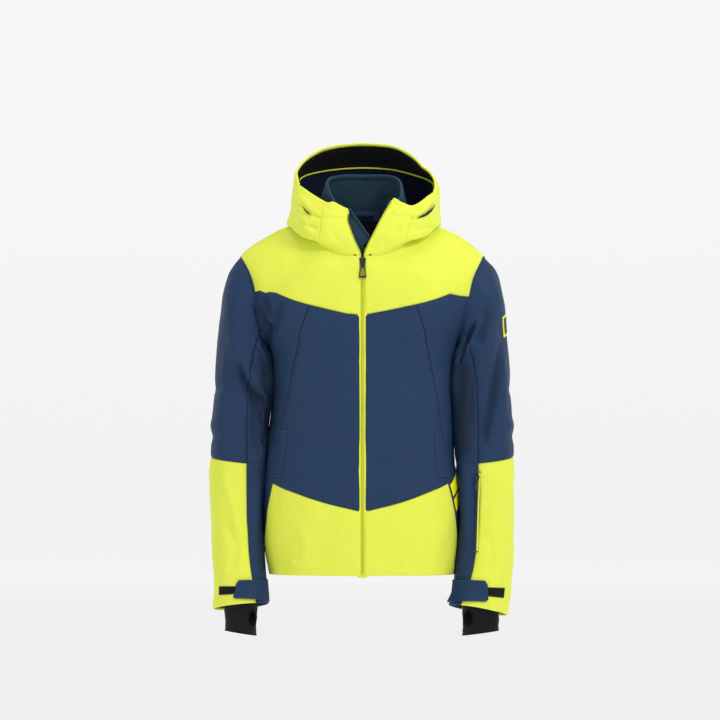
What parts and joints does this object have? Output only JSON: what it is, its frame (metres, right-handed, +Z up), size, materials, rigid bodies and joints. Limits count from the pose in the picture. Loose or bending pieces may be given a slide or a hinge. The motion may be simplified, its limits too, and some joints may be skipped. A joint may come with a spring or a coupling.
{
  "type": "ski jacket",
  "caption": "Padded two-tone ski jacket with a hood, front zip, articulated sleeves, closing cuff tabs and stretch wrist gaiters with thumb holes.",
  "frame": {"origin": "middle of the face by which the hanging loop rests on a hook, at the back of the neck", "axes": "+Z up, the jacket's front faces -Y, +X is the wearer's left"},
  "size_m": [0.6042, 0.3354, 0.993],
  "materials": {
    "lime_shell": "matt, coated woven shell",
    "lime_zip": "matt woven tape with moulded coil",
    "navy_shell": "matt, coated woven shell",
    "neon_trim": "smooth bonded film",
    "navy_lining": "light woven lining",
    "black_trim": "brushed knit and looped patch",
    "black_gaiter": "stretch jersey",
    "teal_collar": "brushed knit",
    "dark_metal": "satin dark paint",
    "pocket_coil": "moulded coil"
  },
  "bodies": {
    "jacket": {"front_yoke_left": "lime_shell", "front_yoke_right": "lime_shell", "back_yoke": "lime_shell", "front_hem_left": "lime_shell", "front_hem_right": "lime_shell", "back_hem": "lime_shell", "collar_front_left": "lime_shell", "collar_front_right": "lime_shell", "hood_base_band": "lime_shell", "zip_tape_left": "lime_zip", "zip_tape_right": "lime_zip", "zip_box": "lime_zip", "front_chest_left": "navy_shell", "front_chest_right": "navy_shell", "side_front_left": "navy_shell", "side_front_right": "navy_shell", "side_back_left": "navy_shell", "side_back_right": "navy_shell", "back_centre": "navy_shell", "sleeve_upper_left": "navy_shell", "sleeve_upper_right": "navy_shell", "sleeve_under_upper_left": "navy_shell", "sleeve_under_upper_right": "navy_shell", "pocket_welt_left": "navy_shell", "pocket_welt_right": "navy_shell", "hang_loop": "navy_shell", "side_stripe_upper": "neon_trim", "side_stripe_lower": "neon_trim", "sleeve_badge": "neon_trim", "lining_front_left": "navy_lining", "lining_front_right": "navy_lining", "lining_back": "navy_lining", "inner_collar": "teal_collar", "draught_flap": "teal_collar"},
    "hood": {"hood_side_right": "lime_shell", "hood_centre": "lime_shell", "hood_side_left": "lime_shell", "hood_lining": "navy_lining", "hood_rim_facing": "black_trim"},
    "forearm_left": {"forearm_outer_left": "lime_shell", "forearm_under_left": "navy_shell", "cuff_lining_left": "navy_lining", "loop_patch_left": "black_trim", "wrist_gaiter_left": "black_gaiter", "pocket_zip": "pocket_coil"},
    "forearm_right": {"forearm_outer_right": "lime_shell", "forearm_under_right": "navy_shell", "cuff_lining_right": "navy_lining", "loop_patch_right": "black_trim", "wrist_gaiter_right": "black_gaiter"},
    "cuff_tab_left": {"cuff_tab_left": "navy_shell"},
    "cuff_tab_right": {"cuff_tab_right": "navy_shell"},
    "zip_slider": {"zip_slider": "dark_metal"},
    "zip_pull": {"zip_pull": "dark_metal"},
    "pocket_slider": {"pocket_slider": "dark_metal"},
    "pocket_pull": {"pocket_pull": "dark_metal"}
  },
  "joints": [
    {"name": "hood_lift", "type": "hinge", "parent": "jacket", "child": "hood", "pos_m": [0, -0.1565, -0.062], "axis": [1, 0, 0], "range_deg": [0, 50]},
    {"name": "elbow_left", "type": "hinge", "parent": "jacket", "child": "forearm_left", "pos_m": [0.249, -0.1105, -0.497], "axis": [-1, 0, 0], "range_deg": [0, 75]},
    {"name": "elbow_right", "type": "hinge", "parent": "jacket", "child": "forearm_right", "pos_m": [-0.249, -0.1105, -0.497], "axis": [-1, 0, 0], "range_deg": [0, 75]},
    {"name": "cuff_tab_left_peel", "type": "hinge", "parent": "forearm_left", "child": "cuff_tab_left", "pos_m": [0.17973, -0.09296, -0.75143], "axis": [-0.3235, -0.1876, -0.9274], "range_deg": [0, 60]},
    {"name": "cuff_tab_right_peel", "type": "hinge", "parent": "forearm_right", "child": "cuff_tab_right", "pos_m": [-0.18959, -0.08999, -0.75019], "axis": [-0.0943, 0.1345, 0.9864], "range_deg": [0, 60]},
    {"name": "front_zip", "type": "slide", "parent": "jacket", "child": "zip_slider", "axis": [0, -0.0443, -0.999], "range_m": [0, 0.612]},
    {"name": "front_zip_pull", "type": "hinge", "parent": "zip_slider", "child": "zip_pull", "pos_m": [0, -0.16414, -0.09386], "axis": [-1, 0, 0], "range_deg": [0, 150]},
    {"name": "pocket_zip", "type": "slide", "parent": "forearm_left", "child": "pocket_slider", "axis": [-0.0331, -0.0769, -0.9965], "range_m": [0, 0.134]},
    {"name": "pocket_zip_pull", "type": "hinge", "parent": "pocket_slider", "child": "pocket_pull", "pos_m": [0.22837, -0.11223, -0.52322], "axis": [-0.9359, 0.3522, 0.0039], "range_deg": [0, 140]}
  ]
}
